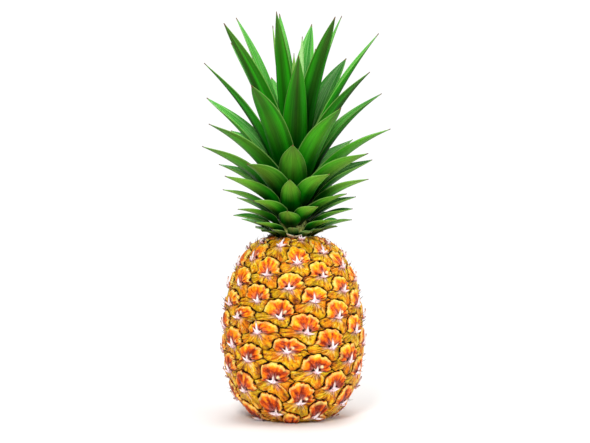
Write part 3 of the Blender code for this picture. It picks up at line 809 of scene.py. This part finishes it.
def blade_mesh(name, form, foot_radius, foot_height, around, dice, rows=44, taper=TAPER):
    """A leaf: a grid bent out along an arc and round like a gutter, with a skin on both sides.
    Its maps hold (across, along) and (1 on the inner side, the leaf's own chance)."""
    length, width, foot_width = (value * MM for value in form[:3])
    foot_lean, tip_lean = (math.radians(value) for value in form[3:])
    bm = bmesh.new()
    bmesh.ops.create_grid(bm, x_segments=LEAF_COLUMNS, y_segments=rows, size=1)
    bmesh.ops.solidify(bm, geom=bm.faces[:], thickness=0.1)
    bmesh.ops.recalc_face_normals(bm, faces=bm.faces)
    flat = np.array([v.co for v in bm.verts])
    inner = flat[:, 2] > flat[:, 2].mean()
    across = np.sin(flat[:, 0] * 1.45) / math.sin(1.45)
    along = (flat[:, 1] + 1) / 2
    share = along / WIDEST
    rise = foot_width + (width - foot_width) * share * share * (3 - 2 * share)
    fall = width * (1 - np.clip((along - WIDEST) / (1 - WIDEST), 0, 1) ** taper)
    wide = np.maximum(np.where(along < WIDEST, rise, fall), 0.5 * MM)
    hook = dice.uniform(-0.12, 0.08)
    path = np.linspace(0, 1, 201)
    path_lean = foot_lean + (tip_lean - foot_lean) * path + hook * path**4
    lean = np.interp(along, path, path_lean)
    out, up = (
        np.interp(along, path, np.cumsum(run) * length / len(path))
        for run in (np.sin(path_lean), np.cos(path_lean))
    )
    wrap = np.minimum((foot_radius + out) / np.cos(np.minimum(lean, MOST_WRAP_LEAN)), CHANNEL_RADIUS)
    turn = across * wide / 2 / wrap
    inward = wrap * (1 - np.cos(turn))
    keel = 0.05 * wide * (1 - np.abs(across)) ** 2 - 0.035 * wide * np.abs(across) ** 6
    wave = 0.012 * wide * np.sin(9 * along + dice.uniform(0, 6)) * across
    thick = EDGE_THICKNESS + (RIB_THICKNESS - EDGE_THICKNESS) * (1 - across**2) * (1 - 0.75 * along)
    push = keel + wave + np.where(inner, -0.5, 0.5) * thick
    sideways = length * dice.uniform(-0.035, 0.035) * along**2
    twist = dice.uniform(-0.22, 0.22) * along * across * wide / 2
    local = np.stack([
        out - (inward - push - twist) * np.cos(lean),
        wrap * np.sin(turn) + sideways,
        up + (inward - push - twist) * np.sin(lean),
    ], axis=-1)
    local[:, 0] += foot_radius
    local[:, 2] += foot_height
    cosine, sine = math.cos(around), math.sin(around)
    placed = np.stack([
        local[:, 0] * cosine - local[:, 1] * sine, local[:, 0] * sine + local[:, 1] * cosine, local[:, 2],
    ], axis=-1)
    mesh = bpy.data.meshes.new(name)
    bm.to_mesh(mesh)
    bm.free()
    mesh.vertices.foreach_set("co", placed.astype(np.float32).ravel())
    corner_vertex = np.array([loop.vertex_index for loop in mesh.loops])
    chance = dice.random()
    for key, values in (("blade", (across, along)), ("side", (inner * 1.0, np.full(len(flat), chance)))):
        uv = mesh.uv_layers.new(name=key)
        uv.data.foreach_set("uv", np.stack(values, axis=-1)[corner_vertex].astype(np.float32).ravel())
    check = bmesh.new()
    check.from_mesh(mesh)
    bmesh.ops.recalc_face_normals(check, faces=check.faces)
    check.to_mesh(mesh)
    check.free()
    mesh.shade_smooth()
    return mesh


def leaf_blade_material(name, deep, middle, bright, tip, inner_deep, inner_pale, bloom):
    """Fresh leaf: smooth and satin outside, striped along its length, with a thin pale margin.
    The outer side carries painted highlight and shade, and each leaf's foot is darkened with painted shade.
    The inner side is paler, partly under a waxy bloom that gathers in fine lines and partly as painted light
    shining through the leaf."""
    made = bpy.data.materials.new(name)
    made.use_nodes = True
    tree = made.node_tree
    blade = add_node(tree, "UVMap", uv_map="blade", out=0)
    parts = add_node(tree, "SeparateXYZ", {0: blade})
    across, along = parts.outputs["X"], parts.outputs["Y"]
    side = add_node(tree, "SeparateXYZ", {0: add_node(tree, "UVMap", uv_map="side", out=0)})
    is_inner, lot = side.outputs["X"], side.outputs["Y"]
    chance = add_node(tree, "Math", {0: lot, 1: 50.0}, out=0, operation="MULTIPLY")
    spot = add_node(tree, "CombineXYZ", {0: across, 1: along, 2: chance}, out=0)
    broad = add_node(tree, "Mapping", {"Vector": spot, "Scale": (1.3, 0.8, 1)}, out=0)
    stripe = add_node(tree, "TexNoise", {"Vector": broad, "Scale": 1.0, "Detail": 2.0}, out=0)
    narrow = add_node(tree, "Mapping", {"Vector": spot, "Scale": (24, 1.6, 1)}, out=0)
    inputs = {"Vector": narrow, "Scale": 1.0, "Detail": 3.0, "Roughness": 0.7}
    fine = add_node(tree, "TexNoise", inputs, out=0)

    # Outer side: darker along the middle and paler towards the margins, partly as painted highlight; painted
    # light towards the tip, most of all low in the crown
    off = add_node(tree, "Math", {0: across}, out=0, operation="ABSOLUTE")
    band = add_node(tree, "Math", {0: off, 1: 0.5, 2: stripe}, out=0, operation="MULTIPLY_ADD")
    outer = add_node(tree, "ValToRGB", {0: band}, [
        (0.36, deep), (0.62, middle), (0.86, bright), (1.0, middle),
    ], out=0)
    lit = add_node(tree, "MapRange", {0: along, 1: 0.35, 2: 0.85, 3: 0.0, 4: 0.75}, out=0)
    place = add_node(tree, "SeparateXYZ", {0: add_node(tree, "TexCoord", out="Object")}, out="Z")
    low = add_node(tree, "MapRange", {0: place, 1: 0.21, 2: 0.27, 3: 1.9, 4: 0.3}, out=0)
    for share in (low, fine):
        lit = add_node(tree, "Math", {0: lit, 1: share}, out=0, operation="MULTIPLY")
    outer = add_node(tree, "Mix", {0: lit, 6: outer, 7: tip}, out=2, data_type="RGBA")
    dusk = add_node(tree, "MapRange", {0: along, 1: 0.75, 2: 1.0, 3: 0.0, 4: 0.9}, out=0)
    dusk = add_node(tree, "Math", {0: dusk, 1: stripe}, out=0, operation="MULTIPLY")
    outer = add_node(tree, "Mix", {0: dusk, 6: outer, 7: "5C6B3A"}, out=2, data_type="RGBA")

    # Inner side: paler under its bloom, and paler still as painted light shining through the leaf
    inner = add_node(tree, "ValToRGB", {0: stripe}, [(0.35, inner_deep), (0.65, inner_pale)], out=0)
    dust = add_node(tree, "MapRange", {0: fine, 1: 0.45, 2: 0.68, 3: 0.0, 4: bloom}, out=0)
    inner = add_node(tree, "Mix", {0: dust, 6: inner, 7: "C8E8A8"}, out=2, data_type="RGBA")
    colour = add_node(tree, "Mix", {0: is_inner, 6: outer, 7: inner}, out=2, data_type="RGBA")

    # Both sides: painted shade darkening the foot, fine lines, a pale margin and a brown spine at the tip
    foot = add_node(tree, "MapRange", {0: along, 1: 0.08, 2: 0.62, 3: 0.96, 4: 0.0}, out=0)
    colour = add_node(tree, "Mix", {0: foot, 6: colour, 7: "001C01"}, out=2, data_type="RGBA")
    lines = add_node(tree, "MapRange", {0: fine, 1: 0.3, 2: 0.7, 3: 0.78, 4: 1.2}, out=0)
    own = add_node(tree, "MapRange", {0: lot, 3: 0.75, 4: 1.35}, out=0)
    lines = add_node(tree, "Math", {0: lines, 1: own}, out=0, operation="MULTIPLY")
    colour = add_node(tree, "VectorMath", {0: colour, 1: lines}, out=0, operation="MULTIPLY")
    edge = add_node(tree, "MapRange", {0: off, 1: 0.96, 2: 0.985, 3: 0.0, 4: 0.35}, out=0)
    colour = add_node(tree, "Mix", {0: edge, 6: colour, 7: "A6D070"}, out=2, data_type="RGBA")
    spine = add_node(tree, "MapRange", {0: along, 1: 0.97, 2: 0.99}, out=0)
    colour = add_node(tree, "Mix", {0: spine, 6: colour, 7: "6A5034"}, out=2, data_type="RGBA")
    rough = add_node(tree, "MapRange", {0: fine, 1: 0.3, 2: 0.7, 3: 0.28, 4: 0.42}, out=0)
    ribs = add_node(tree, "Bump", {"Height": fine, "Strength": 0.22, "Distance": 0.6 * MM}, out=0)
    shader = tree.nodes["Principled BSDF"]
    tree.links.new(colour, shader.inputs["Base Color"])
    tree.links.new(rough, shader.inputs["Roughness"])
    tree.links.new(ribs, shader.inputs["Normal"])
    shader.inputs["IOR"].default_value = 1.42
    shader.inputs["Specular IOR Level"].default_value = 0.1
    return made


green_leaf = leaf_blade_material(
    "fresh_leaf", "003200", "006002", "14980A", "86BC3C", "067004", "3CA01C", 0.36,
)


def leaf_form(share):
    """Length, width, foot width and the two leans of a leaf this far up the crown."""
    lowest, longest, highest = LENGTHS
    length = lowest + (longest - lowest) * (share / LONGEST_PLACE) ** LENGTH_RISE
    if share >= LONGEST_PLACE:
        length = longest + (highest - longest) * (share - LONGEST_PLACE) / (1 - LONGEST_PLACE)
    places, *columns = zip(*LEAF_FORMS)
    return [length] + [float(np.interp(share, places, column)) for column in columns]


for index in range(LEAF_COUNT):
    share = index / (LEAF_COUNT - 1)
    height = LEAF_HEIGHTS[0] + (LEAF_HEIGHTS[1] - LEAF_HEIGHTS[0]) * share
    foot = float(stem_radius(height)) + 1.0 * MM
    around = math.radians(FIRST_LEAF + LEAF_TURN * index - 90)
    name = f"crown_leaf_{index + 1:02d}"
    form = FRONT_LEAVES.get(index) or leaf_form(share)
    taper = BUD_TAPER if index in FRONT_LEAVES else TAPER
    mesh = blade_mesh(
        name, form, foot, CROWN_FOOT + height, around, random.Random(100 + index), taper=taper,
    )
    mesh.materials.append(green_leaf)
    leaf = bpy.data.objects.new(name, mesh)
    bpy.context.scene.collection.objects.link(leaf)
    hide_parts(f"leaf_{index + 1:02d}")
    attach(leaf, "root")


# Basal scales. The crown's last and smallest leaves, a low collar between it and the fruit, some
# of them dried to a pale husk.
SCALE_COUNT = 19
FIRST_SCALE = -88  # degrees from +X
SCALE_TURN = LEAF_TURN * 1.003  # a little further round, so none hides behind another
DRY_SCALES = {  # the first, at the front, is short and broad: length, width, foot width and leans
    0: (9, 15, 13, 66, 84), 7: (13, 8, 7, 60, 100), 14: (12, 9, 7, 62, 96),
}
scale_green = leaf_blade_material(
    "scale_leaf", "022E02", "0A4A06", "1C6E10", "7C9C50", "0E4C08", "3C7C28", 0.4,
)
scale_dry = leaf_blade_material(
    "dry_scale_leaf", "A8886C", "DCC4B4", "F4E4DA", "FAF0E8", "B09880", "EEE0D6", 0.6,
)
for index in range(SCALE_COUNT):
    dice = random.Random(400 + index)
    form = DRY_SCALES.get(index) or (
        dice.uniform(17, 26), dice.uniform(8, 11), 8, dice.uniform(48, 58), dice.uniform(80, 96),
    )
    around = math.radians(FIRST_SCALE + SCALE_TURN * index)
    height = dice.uniform(0.8, 2.2) * MM
    mesh = blade_mesh(
        f"basal_scale_{index + 1:02d}", form, float(stem_radius(height)) - 0.5 * MM,
        CROWN_FOOT + height, around, dice, rows=18,
    )
    mesh.materials.append(scale_dry if index in DRY_SCALES else scale_green)
    scale_leaf = bpy.data.objects.new(mesh.name, mesh)
    bpy.context.scene.collection.objects.link(scale_leaf)
    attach(scale_leaf, "root")


# Crown heart. The youngest leaves, pale and narrow, still rolled round each other in a spear on
# the stem's tip, with the next few just opening round it.
HEART_FORMS = ((120, 12), (138, 11), (128, 10), (112, 9), (96, 8))  # length and width, mm
HEART_RADIUS = 2.9 * MM
young_leaf = leaf_blade_material(
    "young_leaf", "3E8A22", "6DB33C", "A6D66A", "B4D888", "6FAE50", "C2E2A6", 0.9,
)
low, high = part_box("crown_heart")
bm = bmesh.new()
bmesh.ops.create_cone(bm, cap_ends=True, segments=36, radius1=1, radius2=1, depth=2)
sides = [e for e in bm.edges if abs(e.verts[0].co.z - e.verts[1].co.z) > 1]
bmesh.ops.subdivide_edges(bm, edges=sides, cuts=48)
for v in bm.verts:
    share = (v.co.z + 1) / 2
    turn = math.atan2(v.co.y, v.co.x)
    swell = max(0.04, math.sin(math.pi * (0.22 + 0.78 * share)) ** 0.8)
    overlap = 0.16 * ((turn / (2 * math.pi) + 1.4 * share) % 1)  # the rolled leaf's free edge
    radius = HEART_RADIUS * swell * (0.86 + overlap)
    v.co = (radius * math.cos(turn), radius * math.sin(turn), low[2] + share * (high[2] - low[2]))
blade = bm.loops.layers.uv.new("blade")
side = bm.loops.layers.uv.new("side")
for face in bm.faces:
    centre = face.calc_center_median()
    middle = math.atan2(centre.y, centre.x)
    for loop in face.loops:
        past = math.atan2(loop.vert.co.y, loop.vert.co.x) - middle
        turn = middle + (past + math.pi) % (2 * math.pi) - math.pi
        loop[blade].uv = (0.9 * math.sin(turn), (loop.vert.co.z - low[2]) / (high[2] - low[2]))
        loop[side].uv = (0, 0.37)
spear = new_piece("heart_spear", bm)
spear.data.materials.append(young_leaf)
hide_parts("crown_heart")
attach(spear, "root")
for index, (length, width) in enumerate(HEART_FORMS):
    height = (44.5 + index) * MM
    form = (length, width, 3.0, 3, 12 - 2 * index)
    around = math.radians(FIRST_LEAF + LEAF_TURN * (LEAF_COUNT + index) - 90)
    mesh = blade_mesh(
        f"heart_leaf_{index + 1}", form, float(stem_radius(height)) + 0.6 * MM, CROWN_FOOT + height,
        around, random.Random(600 + index),
    )
    mesh.materials.append(young_leaf)
    leaf = bpy.data.objects.new(mesh.name, mesh)
    bpy.context.scene.collection.objects.link(leaf)
    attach(leaf, "root")


# The plain pale floor, soft studio light and the camera.
STAND_OFF = 1.6
LOOK_DOWN = math.radians(4.5)
FRAME_WIDTH = 0.512  # metres across the view at the fruit's axis
LOOK_AT = Vector((0.0015, 0, 0.1712))
FLOOR_RADIUS = 0.42
ROOM_LIGHT = 0.3  # of the white walls on the object
SEEN_LIGHT = 1.05  # of the same walls as the camera sees them: full white

bm = bmesh.new()
bmesh.ops.create_circle(bm, cap_ends=True, segments=96, radius=FLOOR_RADIUS)
mesh = bpy.data.meshes.new("floor")
bm.to_mesh(mesh)
bm.free()
floor = bpy.data.objects.new("floor", mesh)
bpy.context.scene.collection.objects.link(floor)
paper = bpy.data.materials.new("white_studio_paper")
paper.use_nodes = True
paper.node_tree.nodes["Principled BSDF"].inputs["Base Color"].default_value = linear("E9E7E6")
paper.node_tree.nodes["Principled BSDF"].inputs["Roughness"].default_value = 0.9
mesh.materials.append(paper)

world = bpy.data.worlds.new("white_room")
world.use_nodes = True
tree = world.node_tree
seen = add_node(tree, "LightPath", out="Is Camera Ray")
glow = add_node(tree, "MapRange", {0: seen, 3: ROOM_LIGHT, 4: SEEN_LIGHT}, out=0)
tree.nodes["Background"].inputs[0].default_value = (1, 1, 1, 1)
tree.links.new(glow, tree.nodes["Background"].inputs[1])
bpy.context.scene.world = world


def soft_box(name, place, target, size, power):
    lamp = bpy.data.lights.new(name, "AREA")
    lamp.size = size
    lamp.energy = power
    made = bpy.data.objects.new(name, lamp)
    made.location = place
    made.rotation_euler = (Vector(target) - Vector(place)).to_track_quat("-Z", "Y").to_euler()
    bpy.context.scene.collection.objects.link(made)


soft_box("overhead", (0, -0.1, 1.3), (0, -0.1, 0), 1.1, 15)
soft_box("key", (-0.28, -1.45, 1.0), (0, 0, 0.15), 0.35, 20)
soft_box("right", (1.3, -0.15, 0.6), (0, 0, 0.2), 0.5, 7)
soft_box("back", (0.3, 1.2, 0.9), (0, 0, 0.22), 0.8, 7)

camera = bpy.data.cameras.new("camera")
camera.sensor_width = 36
camera.lens = 36 * STAND_OFF / FRAME_WIDTH
viewer = bpy.data.objects.new("camera", camera)
viewer.location = LOOK_AT + STAND_OFF * Vector((0, -math.cos(LOOK_DOWN), math.sin(LOOK_DOWN)))
viewer.rotation_euler = (math.pi / 2 - LOOK_DOWN, 0, 0)
bpy.context.scene.collection.objects.link(viewer)
bpy.context.scene.camera = viewer
bpy.context.scene.view_settings.view_transform = "Standard"
